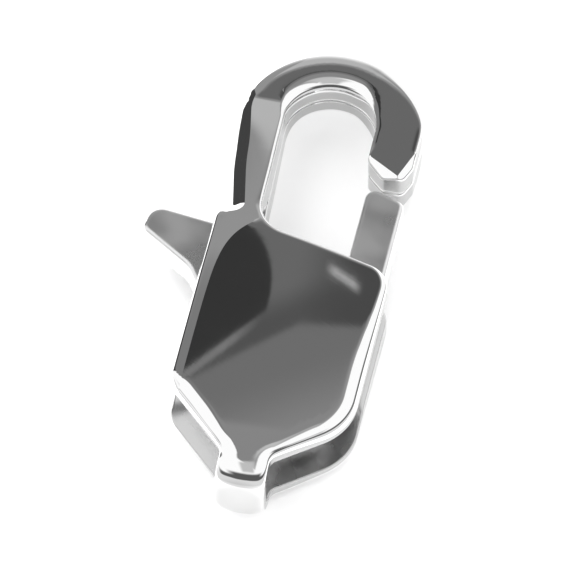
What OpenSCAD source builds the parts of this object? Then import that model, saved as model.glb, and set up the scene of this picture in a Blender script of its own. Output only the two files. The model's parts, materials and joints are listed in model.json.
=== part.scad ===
// Lobster clasp folded from one strip of sheet metal. A front plate and a back plate are joined by
// a narrow bridge at the tail, and each plate runs up into one layer of the hook. A sprung lever
// turns on a hidden pin between the plates: its gate closes the hook and its thumb piece sticks out.
// The origin is the centre of the hook's arch, halfway through its thickness.
// +Y runs to the top of the hook, +X towards the gate and +Z out of the front plate.

/* [Overall] */
// Length from the top of the hook to the outside of the bridge
total_length = 15.2; // [14.9:0.1:15.8]
// Thickness of the strip where it makes the two plates and the bridge
sheet_t = 0.75; // [0.65:0.05:0.85]
// Space between the two plates, where the lever turns
plate_gap = 1.1; // [1:0.05:1.4]

/* [Hook] */
// Outer radius of the arch
hook_outer_r = 2.6; // [2.5:0.05:2.7]
// Inner radius of the arch, where a link sits
hook_inner_r = 1.3; // [1.15:0.05:1.4]
// Thickness of each of the hook's two layers
layer_t = 0.75; // [0.65:0.05:0.85]
// Slit between the two layers
seam = 0.04; // [0.02:0.01:0.06]
// Radius along the hook's outer edges
hook_edge_r = 0.25; // [0.1:0.05:0.3]
// How far the tip reaches below the centre of the arch
tip_reach = 1.5; // [1.46:0.02:1.7]
// How far below the centre of the arch the tip's top face ends in a point
tip_point = 1.3; // [1.15:0.05:1.4]
// Length of the two facets that bring the tip's top face to that point
tip_facet = 0.55; // [0.5:0.05:0.8]

/* [Plates] */
// Distance from the hook's centre line to the plates' left edge
plate_left = 2.4; // [2.3:0.05:2.55]
// Distance from the hook's centre line to the plates' right edge
plate_right = 2.82; // [2.7:0.02:3]
// Depth of the plates' left shoulder below the arch's centre
shoulder_drop = 3.8; // [3.7:0.05:3.9]
// Depth of the plates' upper edge below the arch's centre, where it leaves the arm
edge_drop = 4.1; // [4:0.05:4.3]
// Depth of the plates' upper right corner below the arch's centre
corner_drop = 4.95; // [4.7:0.05:5.2]
// Height of the plates' lower left corner above the outside of the bridge
left_rise = 2.85; // [2.6:0.05:3.1]
// Height of the plates' lower right corner above the outside of the bridge
right_rise = 2.5; // [2.35:0.05:2.8]
// Radius of the plates' shoulder
shoulder_r = 0.42; // [0.42:0.02:0.6]
// Radius of the plates' upper right corner
corner_r = 0.75; // [0.5:0.05:0.9]
// Radius of the plates' lower right side
side_r = 1.6; // [1:0.1:1.8]
// Radius of the plates' lower left corner
left_r = 0.7; // [0.5:0.05:0.9]
// Radius along the plates' outer edges
plate_edge_r = 0.3; // [0.15:0.05:0.4]

/* [Arm] */
// Depth below the arch's centre where the arm has climbed to the plates' level
climb_drop = 3.4; // [3.3:0.05:3.5]
// Distance from the hook's centre line to the arm's outer side at that depth
arm_left = 2.12; // [2.04:0.02:2.2]
// Width of the arm there
arm_root_w = 0.94; // [0.9:0.02:1]
// Radius in the corner between the arm and the plates' upper edge
arm_fillet_r = 1; // [0.7:0.05:1.1]
// How far below the arch's centre the two layers start to part
part_drop = 2.4; // [2:0.1:2.8]
// Width of the bevel on the arm's outer side where it meets the plate
arm_bevel = 0.35; // [0.3:0.05:0.45]

/* [Bridge] */
// Width of the bridge
bridge_w = 1.4; // [1.2:0.02:1.6]
// Distance from the hook's centre line to the middle of the bridge
bridge_x = 0.18; // [0:0.02:0.4]
// Outer radius of the bridge's two folds
fold_r = 0.85; // [0.8:0.05:1]
// Radius of the corner where a plate narrows to the bridge
neck_r = 0.35; // [0.2:0.05:0.4]

/* [Lever] */
// Thickness of the lever
lever_t = 0.9; // [0.8:0.05:0.95]
// How far the gate's inner side stands back from the hook's inner radius
gate_setback = 0.15; // [0.1:0.05:0.25]
// Gap between the gate's end and the hook's tip
gate_gap = 0.25; // [0.2:0.05:0.4]
// Radius of the corners at the gate's end
gate_corner_r = 0.28; // [0.2:0.02:0.35]
// Distance from the hook's centre line to the tip of the thumb piece
thumb_reach = 4.42; // [4.2:0.02:4.8]
// Depth of the thumb piece's upper corner below the arch's centre
thumb_drop = 3.55; // [3.5:0.05:3.7]
// Width of the thumb piece at its tip
thumb_w = 0.9; // [0.8:0.05:1]
// Radius of the lever's hub round the pin
hub_r = 1.4; // [1.2:0.05:1.5]
// Radius along the lever's edges
lever_edge_r = 0.12; // [0.05:0.01:0.18]

/* [Pivot] */
// Distance of the pin's axis to the right of the hook's centre line
pivot_x = 0.5; // [0.3:0.05:0.6]
// Depth of the pin's axis below the arch's centre
pivot_drop = 6.6; // [6.5:0.05:6.8]
// Radius of the pin
pin_r = 0.45; // [0.3:0.05:0.6]
// Depth of the blind seat in each plate that holds the pin
seat_depth = 0.35; // [0.25:0.05:0.4]
// Radial clearance of the pin in the lever
running_gap = 0.04; // [0.02:0.01:0.08]
// Clearance of the pin all round in its seats
seat_gap = 0.015; // [0.01:0.005:0.03]

/* [Hidden] */
$fn = 64;

plate_in = plate_gap / 2;
plate_out = plate_in + sheet_t;
tail_y = hook_outer_r - total_length;
neck_y = tail_y + fold_r;
bridge_left = bridge_x - bridge_w / 2;
bridge_right = bridge_x + bridge_w / 2;
bar_w = hook_outer_r - hook_inner_r;
fillet_drop = edge_drop - 0.95 * arm_fillet_r;
arm_in = arm_root_w - arm_left;
pivot = [pivot_x, -pivot_drop];

// Segments in the arc of a rounded corner
arc_steps = 6;
// Thickness of the slices between which a hull is drawn
slice = 0.02;
// How far solids of one piece run into each other
overlap = 0.5;
// How far the arm's faces stay inside the plate's where it runs into the plate
step = 0.04;
// Bevel on edges that lie inside or face the seam
inner_bevel = 0.05;
// Straight stretch of the neck above the fold
neck_rise = 0.3;
// Place of the tip's point across the hook's width
tip_share = 0.75;

function unit(v) = v / norm(v);
function left_of(v) = [-v[1], v[0]];
function on_circle(centre, r, angle) = centre + r * [cos(angle), sin(angle)];

// Points that round corner b of the path a, b, c with radius r, or b itself if r is 0
function corner_points(a, b, c, r) =
    r == 0 ? [b] :
    let (
        to_a = unit(a - b),
        to_c = unit(c - b),
        half = acos(to_a * to_c) / 2,
        centre = b + unit(to_a + to_c) * r / sin(half),
        start = b + to_a * r / tan(half) - centre,
        first = atan2(start[1], start[0]),
        sweep = (180 - 2 * half) * sign(cross(b - a, c - b))
    )
    [for (i = [0:arc_steps]) on_circle(centre, r, first + sweep * i / arc_steps)];

// Outline through corners [x, y, radius], listed counterclockwise
function rounded(corners) =
    let (n = len(corners), at = [for (k = corners) [k[0], k[1]]])
    [for (i = [0:n - 1])
        each corner_points(at[(i + n - 1) % n], at[i], at[(i + 1) % n], corners[i][2])];

// The same outline, moved inwards by d
function inset(points, d) =
    let (n = len(points))
    [for (i = [0:n - 1])
        let (
            before = unit(points[i] - points[(i + n - 1) % n]),
            after = unit(points[(i + 1) % n] - points[i])
        )
        points[i] + d * (left_of(before) + left_of(after)) / (1 + before * after)];

// Levels [height, inset] of a round edge of radius r, whose highest point is at height top
function round_edge(top, r) = [for (a = [0:30:90]) [top - r + r * sin(a), r - r * cos(a)]];

// The same levels upside down, for a lower edge
function under(levels) =
    [for (i = [len(levels) - 1:-1:0]) [-levels[i][0], levels[i][1]]];

// Which of the middle points is nearest in height to a point of the outline
function nearest(middles, y) =
    let (gaps = [for (m = middles) abs(m[1] - y)])
    search(min(gaps), gaps)[0];

// Solid that follows an outline, drawn in at each level as the levels say. Its flat faces are fans
// round one or two middle points, from which the stretches of outline nearest to them can be seen.
module slab(outline, levels, middles) {
    n = len(outline);
    high = (len(levels) - 1) * n;
    low_middle = high + n;
    high_middle = low_middle + len(middles);
    rings = [for (l = levels, p = inset(outline, l[1])) [p[0], p[1], l[0]]];
    centres = [for (z = [levels[0][0], levels[len(levels) - 1][0]], m = middles) [m[0], m[1], z]];
    fan = [for (i = [0:n - 1]) nearest(middles, (outline[i][1] + outline[(i + 1) % n][1]) / 2)];
    turns = [for (i = [0:n - 1]) if (fan[i] != fan[(i + n - 1) % n]) i];
    flat_faces = [for (i = [0:n - 1]) let (j = (i + 1) % n) each [
        [i, j, low_middle + fan[i]],
        [high + j, high + i, high_middle + fan[i]]
    ]];
    between_fans = [for (i = turns) let (b = fan[(i + n - 1) % n]) each [
        [i, low_middle + fan[i], low_middle + b],
        [high + i, high_middle + b, high_middle + fan[i]]
    ]];
    sides = [for (k = [0:n:high - n], i = [0:n - 1]) let (j = (i + 1) % n)
        [k + i, k + n + i, k + n + j, k + j]];
    polyhedron(concat(rings, centres), concat(flat_faces, between_fans, sides));
}

// Corners of a plate: x, y, radius
plate_corners = [
    [-plate_left, -shoulder_drop, shoulder_r],
    [-plate_left, tail_y + left_rise, left_r],
    [bridge_left, neck_y + neck_rise, neck_r],
    [bridge_left, neck_y - overlap, 0],
    [bridge_right, neck_y - overlap, 0],
    [bridge_right, neck_y + neck_rise, neck_r],
    [plate_right, tail_y + right_rise, side_r],
    [plate_right, -corner_drop, corner_r],
    [arm_in, -edge_drop, arm_fillet_r],
    [arm_in, -fillet_drop, 0]
];

// Levels of the sheet from its inner to its outer face
sheet_levels = concat(
    [[plate_in, inner_bevel], [plate_in + inner_bevel, 0]],
    round_edge(plate_out, plate_edge_r)
);

// A plate, cut square where the bridge's fold starts
module plate() {
    difference() {
        slab(rounded(plate_corners), sheet_levels, [
            [arm_in - 1.5 * plate_edge_r, -corner_drop],
            [bridge_x, neck_y + left_rise / 2]
        ]);
        translate([bridge_left - overlap, neck_y - 2 * overlap, 0])
            cube([bridge_w + 2 * overlap, 2 * overlap, plate_out + overlap]);
    }
}

// Cross-section of one layer of the hook: radius from the arch's centre, and height
module layer_section() {
    polygon(rounded([
        [hook_inner_r + inner_bevel, seam / 2, 0],
        [hook_outer_r - inner_bevel, seam / 2, 0],
        [hook_outer_r, seam / 2 + inner_bevel, 0],
        [hook_outer_r, layer_t, hook_edge_r],
        [hook_inner_r, layer_t, hook_edge_r],
        [hook_inner_r, seam / 2 + inner_bevel, 0]
    ]));
}

// One layer of the hook down to where the facets of its tip start
module hook_layer() {
    rotate_extrude(angle = 180) layer_section();
    rotate([90, 0, 0]) linear_extrude(tip_point - tip_facet) layer_section();
}

// The tip: its top face narrows to a point between two facets
module tip_layer() {
    facet_y = tip_facet - tip_point;
    tip_x = hook_inner_r + bar_w * tip_share;
    base = rounded([
        [hook_inner_r, facet_y, 0],
        [hook_inner_r, facet_y - tip_facet / 2, bar_w / 4],
        tip_base_left,
        tip_base_right,
        [hook_outer_r, facet_y - tip_facet / 2, bar_w / 4],
        [hook_outer_r, facet_y, 0]
    ]);
    hull() {
        translate([0, facet_y, 0]) rotate([90, 0, 0]) linear_extrude(slice) layer_section();
        translate([0, 0, seam / 2 + inner_bevel]) linear_extrude(layer_t / 3) polygon(base);
        translate([0, 0, seam / 2]) linear_extrude(slice) polygon(inset(base, inner_bevel));
        translate([tip_x, -tip_point, 0]) cylinder(h = layer_t, r = slice);
    }
}

// The two lowest corners of the tip: x, y, radius
tip_base_left = [hook_inner_r + bar_w * 0.4, -tip_reach, bar_w / 5];
tip_base_right = [hook_inner_r + bar_w * 0.85, -tip_reach, bar_w / 5];

// Cross-section of the arm at a depth below the arch's centre
module arm_slice(drop, underside) {
    share = min(drop / climb_drop, 1);
    outer = -hook_outer_r + pow(share, 2) * (hook_outer_r - arm_left);
    inner = -hook_inner_r + share * (hook_inner_r + arm_in);
    top = layer_t + share * (plate_out - step - layer_t);
    bevel = hook_edge_r + share * (arm_bevel - hook_edge_r);
    translate([0, -drop, 0]) rotate([90, 0, 0]) linear_extrude(slice) polygon([
        [outer, underside],
        [inner, underside],
        [inner, top - hook_edge_r],
        [inner - hook_edge_r / 3, top - hook_edge_r / 3],
        [inner - hook_edge_r, top],
        [outer + bevel, top],
        [outer, max(underside, layer_t - hook_edge_r) + inner_bevel]
    ]);
}

// One layer of the arm, which climbs from the hook's level to just inside the plate's faces
module arm_layer() {
    hull() {
        mirror([1, 0, 0]) rotate([90, 0, 0]) linear_extrude(slice) layer_section();
        arm_slice(part_drop, seam / 2);
        arm_slice(climb_drop, plate_in + step);
        arm_slice(shoulder_drop + overlap, plate_in + step);
    }
}

// Cross-section of the strip at the neck: depth below the outer face, and width
module neck_section() {
    last = len(sheet_levels) - 1;
    polygon(concat(
        [for (l = sheet_levels) [l[0] - plate_out, l[1] - bridge_w / 2]],
        [for (i = [last:-1:0]) [sheet_levels[i][0] - plate_out, bridge_w / 2 - sheet_levels[i][1]]]
    ));
}

// Half of the bridge: the strip turns down at a fold and runs to the middle of the clasp
module half_bridge() {
    wall_h = plate_out - fold_r;
    translate([bridge_x, neck_y, wall_h]) rotate([180, -90, 0])
        rotate_extrude(angle = 90) translate([fold_r, 0]) neck_section();
    translate([bridge_x, neck_y, 0]) rotate([0, 0, -90])
        linear_extrude(wall_h) translate([fold_r, 0]) neck_section();
}

// Front half of the body; the back half is its mirror image
module half_body() {
    difference() {
        plate();
        translate([pivot[0], pivot[1], plate_in - slice])
            cylinder(h = seat_depth + slice, r = pin_r + seat_gap);
    }
    hook_layer();
    tip_layer();
    arm_layer();
    half_bridge();
}

module body() {
    color("silver") {
        half_body();
        mirror([0, 0, 1]) half_body();
    }
}

// The gate's end lies on a circle round the pivot, so that it swings clear of the tip
gate_end_r = min([for (p = [tip_base_left, tip_base_right]) norm([p[0], p[1]] - pivot)]) - gate_gap;
gate_left = hook_inner_r + gate_setback;
gate_right = hook_outer_r;
function gate_end_y(x) = pivot[1] + sqrt(pow(gate_end_r, 2) - pow(x - pivot[0], 2));

// Corners of the lever: x, y, radius
lever_corners = [
    [gate_right, gate_end_y(gate_right), gate_corner_r],
    [gate_left, gate_end_y(gate_left), gate_corner_r],
    [gate_left, pivot[1] + hub_r, hub_r / 4],
    [0.15 - thumb_reach, -thumb_drop, thumb_w / 2],
    [-thumb_reach, -thumb_drop - thumb_w, thumb_w / 3],
    [-plate_left - thumb_w / 2, -thumb_drop - 1.65, thumb_w],
    [pivot[0] - 1.2 * hub_r, pivot[1] - hub_r, 0.8 * hub_r],
    [pivot[0] + hub_r, pivot[1] - hub_r, 0.9 * hub_r],
    [gate_right, pivot[1] + hub_r / 2, 0.7 * hub_r]
];

module lever() {
    upper_edge = round_edge(lever_t / 2, lever_edge_r);
    gate_foot = [(gate_left + gate_right) / 2, pivot[1] + 0.7 * hub_r];
    color("gainsboro") difference() {
        slab(rounded(lever_corners), concat(under(upper_edge), upper_edge), [gate_foot]);
        translate([pivot[0], pivot[1], -lever_t])
            cylinder(h = 2 * lever_t, r = pin_r + running_gap);
    }
}

module pivot_pin() {
    pin_length = plate_gap + 2 * (seat_depth - seat_gap);
    color("darkgray") translate([pivot[0], pivot[1], -pin_length / 2])
        cylinder(h = pin_length, r = pin_r);
}

body();
lever();
pivot_pin();
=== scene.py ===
import json
import math
from types import SimpleNamespace

import bmesh
import bpy
import numpy as np
from bpy.props import FloatProperty, FloatVectorProperty, PointerProperty
from bpy.types import Operator, Panel, PropertyGroup
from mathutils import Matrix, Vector
from mathutils.geometry import delaunay_2d_cdt


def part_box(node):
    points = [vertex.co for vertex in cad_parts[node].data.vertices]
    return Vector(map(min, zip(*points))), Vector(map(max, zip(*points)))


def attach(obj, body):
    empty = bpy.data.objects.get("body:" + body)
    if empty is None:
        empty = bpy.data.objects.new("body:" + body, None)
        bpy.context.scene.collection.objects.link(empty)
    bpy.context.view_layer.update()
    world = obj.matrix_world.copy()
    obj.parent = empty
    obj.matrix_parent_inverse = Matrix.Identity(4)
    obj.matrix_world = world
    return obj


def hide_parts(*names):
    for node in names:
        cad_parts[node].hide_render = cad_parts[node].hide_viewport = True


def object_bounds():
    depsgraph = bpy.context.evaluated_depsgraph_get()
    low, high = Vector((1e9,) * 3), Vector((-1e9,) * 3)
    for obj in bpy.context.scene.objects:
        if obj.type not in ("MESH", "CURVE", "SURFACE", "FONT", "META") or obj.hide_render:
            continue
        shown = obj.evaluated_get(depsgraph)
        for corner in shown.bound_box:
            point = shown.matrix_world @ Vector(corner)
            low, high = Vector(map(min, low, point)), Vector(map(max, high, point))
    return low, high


bl_info = {
    "name": "Lobster Clasp",
    "version": (1, 0, 0),
    "blender": (4, 5, 0),
    "location": "View3D > Sidebar > Clasp",
    "description": "Dresses the packed lobster clasp in polished sheet steel",
    "category": "Object",
}

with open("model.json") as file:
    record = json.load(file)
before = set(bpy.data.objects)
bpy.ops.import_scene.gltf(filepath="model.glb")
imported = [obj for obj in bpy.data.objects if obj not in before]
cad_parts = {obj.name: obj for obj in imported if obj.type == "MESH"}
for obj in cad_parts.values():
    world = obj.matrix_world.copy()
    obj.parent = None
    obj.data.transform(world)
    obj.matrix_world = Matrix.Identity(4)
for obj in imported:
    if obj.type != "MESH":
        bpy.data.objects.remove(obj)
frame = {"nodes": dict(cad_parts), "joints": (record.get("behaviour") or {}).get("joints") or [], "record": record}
CAD_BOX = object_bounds()

MM = 0.001

# Sizes that the solids fix, in millimetres. The plan's origin is the centre of the hook's arch.
BODY_LOW, BODY_HIGH = (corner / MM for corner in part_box("body"))
LEVER_LOW, LEVER_HIGH = (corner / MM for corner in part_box("lever"))
HOOK_EYE = next(m for m in frame["record"]["mounts"] if m["name"] == "hook_eye")
PIVOT = Vector(frame["joints"][0]["pos_m"]) / MM
OUTER_R = BODY_HIGH.y
INNER_R = HOOK_EYE["dims"]["r_mm"]
PLATE_OUT = BODY_HIGH.z
PLATE_RIGHT = BODY_HIGH.x
TAIL_Y = BODY_LOW.y


# Sizes and colours that the panel shows

def length(name, text, millimetres):
    """A length that the panel shows, given in millimetres."""
    return FloatProperty(name=name, description=text, default=millimetres * MM, min=0.0,
                         unit="LENGTH", subtype="DISTANCE", precision=5)


def factor(name, text, value):
    """A share from 0 to 1."""
    return FloatProperty(name=name, description=text, default=value, min=0.0, max=1.0,
                         subtype="FACTOR")


def colour(name, text, value):
    """A colour, whose default is a grey of that brightness."""
    return FloatVectorProperty(name=name, description=text, default=(value,) * 3, min=0.0, max=1.0,
                               size=3, subtype="COLOR")


def brightness(name, text, value):
    """A brightness, 1 for white."""
    return FloatProperty(name=name, description=text, default=value, min=0.0, max=5.0)


class ClaspSizes(PropertyGroup):
    layer_t: length("Layer thickness", "Thickness of each layer of the hook", 0.75)
    seam: length("Seam", "Slit between the hook's two layers", 0.04)
    plate_in: length("Plate inside", "Height of a plate's inner face above the middle", 0.55)
    plate_left: length("Plate left", "Distance of the plates' left edge from the hook's centre", 2.4)
    fold_r: length("Fold radius", "Outer radius of the fold at the bridge", 0.85)
    bridge_x: length("Bridge place", "Distance of the bridge's middle to the right of the hook's", 0.18)
    bridge_w: length("Bridge width", "Width of the bridge", 1.4)
    hook_roll: length("Hook roll", "Width of the rounding along the arch's edges", 0.46)
    top_roll: length("Top roll", "Width of the outer rounding over the top of the arch", 0.64)
    hook_roll_depth: length("Hook roll depth", "How far those roundings go down", 0.28)
    plate_roll: length("Plate roll", "Width of the rounding along the plates' lower edges", 0.46)
    plate_roll_depth: length("Plate roll depth", "How far that rounding goes down", 0.3)
    fine_roll: length("Fine roll", "Width of the rounding along the thin edges", 0.13)
    bevel_w: length("Arm bevel", "Width of the bevel on the arm's outer side", 0.48)
    flank_w: length("Plate flank", "Width of the flat flank along the plates' left edge", 0.34)
    dome_across: length("Dome radius across", "Radius of the plates' dome from side to side", 30.0)
    dome_along: length("Dome radius along", "Radius of the plates' dome from hook to tail", 110.0)
    crown_r: length("Crown radius", "Radius of the crown over the top of the arch", 12.0)
    lever_roll: length("Lever roll", "Width of the rounding along the lever's edges", 0.14)
    point_gap: length("Point gap", "Distance between points of the sheets' edges", 0.05)


class ClaspLooks(PropertyGroup):
    steel: colour("Steel", "Colour of the polished steel", 0.93)
    lever_steel: colour("Lever steel", "Colour of the lever's steel", 0.8)
    dull_steel: colour("Dull steel", "Colour of the unpolished steel inside", 0.62)
    cut_steel: colour("Cut steel", "Colour of the sheets' cut edges", 0.52)
    # painted shade: the steel outside the fold is drawn darker to stand in for the darker reflections there
    bent_steel: colour("Bent steel", "Colour of the stretched steel outside the fold", 0.6)
    polish: factor("Polish", "Roughness of the polished faces", 0.03)
    satin: factor("Lever satin", "Roughness of the lever, which is less finely polished", 0.32)
    dull: factor("Inside roughness", "Roughness of the faces between the plates", 0.22)
    scratches: factor("Scratches", "Strength of the fine polishing scratches", 0.12)
    paper: colour("Floor", "Colour of the floor", 0.93)
    room: brightness("Room", "Brightness of the white room that lights the floor", 1.6)
    room_seen: brightness("Backdrop", "Brightness of the room where the camera sees it", 1.0)


def in_mm(group):
    """The group's lengths by name, in millimetres."""
    keys = [key for key, prop in group.bl_rna.properties.items() if prop.type == "FLOAT"]
    return SimpleNamespace(**{key: getattr(group, key) / MM for key in keys})


# Plane curves, in millimetres

def arc(centre, radius, first, last, gap):
    """Points about gap apart on an arc from angle first to angle last, in degrees."""
    n = max(2, math.ceil(abs(math.radians(last - first)) * radius / gap))
    t = np.radians(np.linspace(first, last, n + 1))
    return np.c_[centre[0] + radius * np.cos(t), centre[1] + radius * np.sin(t)]


def rounded(corners, gap):
    """Points about gap apart on the path through corners (x, y, radius)."""
    bends = []
    for i, (x, y, r) in enumerate(corners):
        b = np.array((x, y))
        if r == 0:
            bends.append(b[None])
            continue
        a, c = np.array(corners[i - 1][:2]), np.array(corners[i + 1][:2])
        to_a, to_c = (a - b) / np.linalg.norm(a - b), (c - b) / np.linalg.norm(c - b)
        half = math.acos(to_a @ to_c) / 2
        middle = to_a + to_c
        centre = b + middle / np.linalg.norm(middle) * r / math.sin(half)
        start = b + to_a * r / math.tan(half) - centre
        end = b + to_c * r / math.tan(half) - centre
        first = math.degrees(math.atan2(start[1], start[0]))
        turn = math.degrees(math.atan2(start[0] * end[1] - start[1] * end[0], start @ end))
        bends.append(arc(centre, r, first, first + turn, gap))
    return evenly(np.vstack(bends), gap)


def evenly(points, gap):
    """The path again, with points added so that they are about gap apart."""
    path = [points[0]]
    for p in points[1:]:
        far = np.linalg.norm(p - path[-1])
        if far > 1e-6:
            n = max(1, round(far / gap))
            last = path[-1]
            path += [last + (p - last) * k / n for k in range(1, n + 1)]
    return np.array(path)


def resampled(path, gap):
    """Points about gap apart along a path, from its start to its end."""
    along = np.r_[0, np.cumsum(np.linalg.norm(np.diff(path, axis=0), axis=1))]
    at = np.linspace(0, along[-1], math.ceil(along[-1] / gap) + 1)
    return np.c_[np.interp(at, along, path[:, 0]), np.interp(at, along, path[:, 1])]


def distance(points, line):
    """Distance from each point to a path."""
    a, ab = line[:-1], line[1:] - line[:-1]
    out = np.empty(len(points))
    for low in range(0, len(points), 2000):
        p = points[low:low + 2000, None]
        t = np.clip(((p - a) * ab).sum(2) / (ab ** 2).sum(1), 0, 1)
        out[low:low + 2000] = np.linalg.norm(p - (a + t[..., None] * ab), axis=2).min(1)
    return out


def inside(points, loop):
    """Whether each point lies inside a closed loop."""
    a, b = loop, np.roll(loop, -1, 0)
    out = np.empty(len(points), bool)
    for low in range(0, len(points), 2000):
        x, y = points[low:low + 2000, 0, None], points[low:low + 2000, 1, None]
        crosses = (a[:, 1] > y) != (b[:, 1] > y)
        with np.errstate(divide="ignore", invalid="ignore"):
            at = a[:, 0] + (y - a[:, 1]) * (b[:, 0] - a[:, 0]) / (b[:, 1] - a[:, 1])
        out[low:low + 2000] = ((x < at) & crosses).sum(1) % 2 == 1
    return out


def smooth(x, low, high):
    """0 at low and 1 at high, smooth between; low may be above high."""
    t = np.clip((x - low) / (high - low), 0, 1)
    return t * t * (3 - 2 * t)


def soft_ramp(x, k):
    """0 below 0 and x above, with the corner rounded over k on each side."""
    return np.where(x < -k, 0, np.where(x > k, x, (x + k) ** 2 / (4 * k)))


def beyond(points, start, end):
    """How far points lie to the right of the line from start to end, 0 if to its left."""
    along = np.array(end) - start
    side = (points[:, 1] - start[1]) * along[0] - (points[:, 0] - start[0]) * along[1]
    return np.maximum(-side / np.linalg.norm(along), 0)


def triangulate(loop, rim, depths, zones, creases=()):
    """Covers a closed loop with triangles: its own points, rings at some depths along the rim, a
    grid in each zone (low corner, high corner, gap) and lines of points along the creases.
    Returns the points, the triangles, and the place among them of each of the loop's points and
    then of each point of the creases."""
    closed = np.vstack([loop, loop[:1]])
    gap = np.linalg.norm(loop[1] - loop[0])
    tangent = np.roll(loop, -1, 0) - np.roll(loop, 1, 0)
    tangent /= np.linalg.norm(tangent, axis=1)[:, None]
    inward = np.c_[-tangent[:, 1], tangent[:, 0]]
    parts, edges, count = [loop], [], len(loop)
    for line in creases:
        parts.append(line)
        edges += [(count + k, count + k + 1) for k in range(len(line) - 1)]
        count += len(line)
    fixed = np.vstack(creases) if len(creases) else None
    free = []
    for depth in depths:
        ring = (loop + inward * depth)[rim]
        ring = ring[(distance(ring, closed) > depth * 0.985 - 1e-5) & inside(ring, loop)]
        keep = [0]
        for k in range(1, len(ring)):
            if np.linalg.norm(ring[k] - ring[keep[-1]]) > 0.55 * gap:
                keep.append(k)
        free.append(ring[keep])
    for low, high, pitch in zones:
        x, y = np.arange(low[0], high[0], pitch), np.arange(low[1], high[1], pitch * 0.866)
        x, y = np.meshgrid(x, y)
        x[1::2] += pitch / 2
        grid = np.c_[x.ravel(), y.ravel()]
        grid = grid[inside(grid, loop)]
        free.append(grid[distance(grid, closed) > depths[-1] + pitch * 0.5])
    free = np.vstack(free)
    if fixed is not None:
        apart = np.linalg.norm(free[:, None] - fixed, axis=2).min(1)
        free = free[apart > 0.4 * gap]
    points = np.vstack(parts + [free])
    result = delaunay_2d_cdt([Vector(p) for p in points], edges, [list(range(len(loop)))], 1, 1e-7)
    v = np.array([tuple(p) for p in result[0]])
    f = np.array(result[2])
    place = np.empty(count, int)
    for new, olds in enumerate(result[3]):
        for old in olds:
            if old < count:
                place[old] = new
    a, b = v[f[:, 1]] - v[f[:, 0]], v[f[:, 2]] - v[f[:, 0]]
    clockwise = a[:, 0] * b[:, 1] < a[:, 1] * b[:, 0]
    f[clockwise] = f[clockwise, ::-1]
    return v, f, place


# Node trees, written as sums

class Wire:
    """An output socket that arithmetic can be written with."""

    def __init__(self, tree, socket):
        self.tree, self.socket = tree, socket

    def math(self, operation, *others):
        """A Math node's result for this value and the others."""
        return node(self.tree, "ShaderNodeMath", {"operation": operation}, self, *others)

    def before(self, operation, other):
        """The same with the other value first."""
        return node(self.tree, "ShaderNodeMath", {"operation": operation}, other, self)

    def __add__(self, other):
        return self.math("ADD", other)

    def __sub__(self, other):
        return self.math("SUBTRACT", other)

    def __rsub__(self, other):
        return self.before("SUBTRACT", other)

    def __mul__(self, other):
        return self.math("MULTIPLY", other)

    def __truediv__(self, other):
        return self.math("DIVIDE", other)

    def __rtruediv__(self, other):
        return self.before("DIVIDE", other)

    def __pow__(self, other):
        return self.math("POWER", other)

    def __neg__(self):
        return self.math("MULTIPLY", -1.0)

    __radd__, __rmul__ = __add__, __mul__

    def step(self, low, high):
        """0 at low and 1 at high, smooth between; low may be above high."""
        return node(self.tree, "ShaderNodeMapRange", {"interpolation_type": "SMOOTHSTEP"},
                    self, low, high, 0.0, 1.0)

    def toward(self, other, share):
        """This value where share is 0, the other where share is 1."""
        return self + (other - self) * share


def plug(socket, value):
    """Links a wire to a socket, or sets the socket to a value."""
    if isinstance(value, Wire):
        value.tree.links.new(value.socket, socket)
    else:
        socket.default_value = value


def node(tree, kind, settings, *values, out=0, **named):
    """Adds a node, gives its inputs values or wires, in order, None for an input that is passed
    over, or by name, and wraps an output."""
    made = tree.nodes.new(kind)
    for key, value in settings.items():
        setattr(made, key, value)
    pairs = list(zip(made.inputs, values))
    pairs += [(made.inputs[key.replace("_", " ")], value) for key, value in named.items()]
    for socket, value in pairs:
        if value is not None:
            plug(socket, value)
    return Wire(tree, made.outputs[out]) if made.outputs else None


def add_object(name, data):
    """A new object in the scene, at the origin."""
    obj = bpy.data.objects.new(name, data)
    bpy.context.scene.collection.objects.link(obj)
    return obj


def shape_tree(name, sizes):
    """An empty Geometry Nodes tree with one named length for each of sizes, and its inputs."""
    tree = bpy.data.node_groups.new(name, "GeometryNodeTree")
    tree.is_modifier = True
    tree.interface.new_socket("Geometry", in_out="INPUT", socket_type="NodeSocketGeometry")
    tree.interface.new_socket("Geometry", in_out="OUTPUT", socket_type="NodeSocketGeometry")
    for label, text in sizes.items():
        socket = tree.interface.new_socket(label, in_out="INPUT", socket_type="NodeSocketFloat")
        socket.subtype, socket.description = "DISTANCE", text
    inputs = tree.nodes.new("NodeGroupInput")
    return tree, {socket.name: Wire(tree, socket) for socket in inputs.outputs if socket.name}


def attribute(tree, name):
    """A number that each point of the flat mesh carries."""
    return node(tree, "GeometryNodeInputNamedAttribute", {"data_type": "FLOAT"}, name)


def quarter_round(edge, width, depth):
    """How far a rounding of that width and depth lowers a point that lies edge from the rim."""
    t = (1.0 - edge / width).math("MAXIMUM", 0.0)
    return depth * (1.0 - (1.0 - t * t).math("MAXIMUM", 0.0) ** 0.5)


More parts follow.
